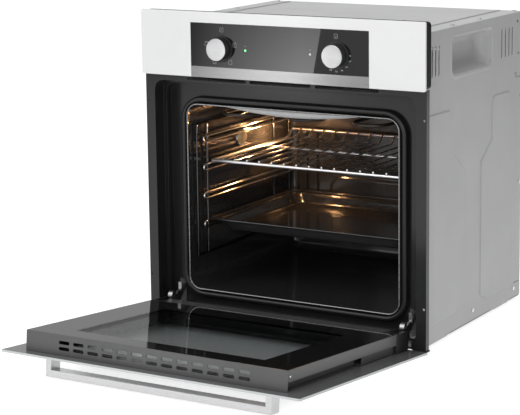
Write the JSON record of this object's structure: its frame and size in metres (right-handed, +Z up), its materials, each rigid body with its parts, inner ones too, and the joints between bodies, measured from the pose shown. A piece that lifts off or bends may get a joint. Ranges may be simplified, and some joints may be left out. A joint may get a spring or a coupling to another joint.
{
  "type": "wall oven",
  "caption": "Built-in electric oven: sheet-metal case, control panel with knobs, drop-down glass door with bar handle, cavity with side racks, wire shelf and tray.",
  "frame": {"origin": "centre of the base's underside, on the surface the case stands on", "axes": "+Z up, -Y out of the front, +X to the right of someone facing the front"},
  "size_m": [0.595, 0.9335, 0.5998],
  "materials": {
    "enamel_grey": "satin enamel",
    "enamel_black": "gloss vitreous enamel",
    "galvanised": "satin zinc-coated sheet",
    "chrome_steel": "plated",
    "chrome_wire": "polished wire",
    "insulation": "mineral wool",
    "seal": "matt silicone",
    "lamp_glass": "frosted",
    "element": "heat-darkened tube",
    "motor": "satin",
    "fan": "satin",
    "black_plastic": "matt",
    "white_glass": "back-painted, polished",
    "black_glass": "back-painted, polished",
    "brushed": "fine brushed",
    "switch_plastic": "matt",
    "ceramic": "matt",
    "pilot_clear": "clear",
    "knob": "satin",
    "knob_face": "spun",
    "door_glass": "back-printed, polished",
    "middle_glass": "clear",
    "inner_glass": "printed border, polished",
    "door_rail": "satin",
    "handle": "brushed"
  },
  "bodies": {
    "chassis": {"front_frame": "enamel_grey", "bottom_trim": "black_plastic", "base_panel": "galvanised", "side_panel_left": "galvanised", "side_panel_right": "galvanised", "hand_recess_left": "galvanised", "hand_recess_right": "galvanised", "top_cover": "galvanised", "rear_panel": "galvanised", "body_screws": "chrome_steel", "cavity_liner": "enamel_black", "insulation_wrap": "insulation", "door_seal": "seal", "side_rack_left": "chrome_wire", "side_rack_right": "chrome_wire", "lamp_lens": "lamp_glass", "lamp_housing": "galvanised", "grill_element": "element", "bottom_element": "element", "temperature_sensor": "chrome_wire", "air_duct": "galvanised", "fan_housing": "galvanised", "fan_motor": "motor", "terminal_box": "black_plastic", "cable_clamp": "black_plastic", "panel_glass": "white_glass", "panel_window": "black_glass", "panel_strip": "brushed", "panel_housing": "black_plastic", "switch_bracket": "galvanised", "function_switch": "switch_plastic", "thermostat": "ceramic", "pilot_lamps": "pilot_clear", "knob_rings": "black_plastic", "hinge_receivers": "galvanised", "hinge_arms": "chrome_steel", "hinge_pins": "chrome_steel"},
    "door": {"door_outer_glass": "door_glass", "door_middle_glass": "middle_glass", "door_inner_glass": "inner_glass", "door_spacers": "seal", "door_top_rail": "door_rail", "door_side_rails": "door_rail", "door_bottom_rail": "door_rail", "door_corner_brackets": "black_plastic", "hinge_channels": "door_rail", "hinge_springs": "chrome_steel", "handle_bar": "handle", "handle_posts": "handle", "handle_screws": "chrome_steel"},
    "function_knob": {"function_knob": "knob", "function_knob_cap": "knob_face"},
    "thermostat_knob": {"thermostat_knob": "knob", "thermostat_knob_cap": "knob_face"},
    "hinge_lock_left": {"hinge_lock_left": "chrome_steel"},
    "hinge_lock_right": {"hinge_lock_right": "chrome_steel"},
    "fan_impeller": {"fan_impeller": "fan"},
    "wire_shelf": {"shelf_frame": "chrome_wire", "shelf_grid": "chrome_wire"},
    "baking_tray": {"baking_tray": "enamel_black"}
  },
  "joints": [
    {"name": "door_pivot", "type": "hinge", "parent": "chassis", "child": "door", "pos_m": [0, -0.232, 0.006], "axis": [-1, 0, 0], "range_deg": [0, 84.7]},
    {"name": "shelf_slide", "type": "slide", "parent": "chassis", "child": "wire_shelf", "axis": [0, 1, 0], "range_m": [-0.33, 0]},
    {"name": "tray_slide", "type": "slide", "parent": "chassis", "child": "baking_tray", "axis": [0, 1, 0], "range_m": [-0.33, 0]},
    {"name": "function_turn", "type": "hinge", "parent": "chassis", "child": "function_knob", "pos_m": [-0.1213, -0.252, 0.5275], "axis": [0, 1, 0], "continuous": true},
    {"name": "thermostat_turn", "type": "hinge", "parent": "chassis", "child": "thermostat_knob", "pos_m": [0.1213, -0.252, 0.5275], "axis": [0, 1, 0], "range_deg": [0, 270]},
    {"name": "lock_left_flip", "type": "hinge", "parent": "chassis", "child": "hinge_lock_left", "pos_m": [-0.249, -0.226, 0.04], "axis": [1, 0, 0], "range_deg": [-45, 0]},
    {"name": "lock_right_flip", "type": "hinge", "parent": "chassis", "child": "hinge_lock_right", "pos_m": [0.249, -0.226, 0.04], "axis": [1, 0, 0], "range_deg": [-45, 0]},
    {"name": "fan_spin", "type": "hinge", "parent": "chassis", "child": "fan_impeller", "pos_m": [0, 0.068, 0.503], "axis": [1, 0, 0], "continuous": true}
  ]
}
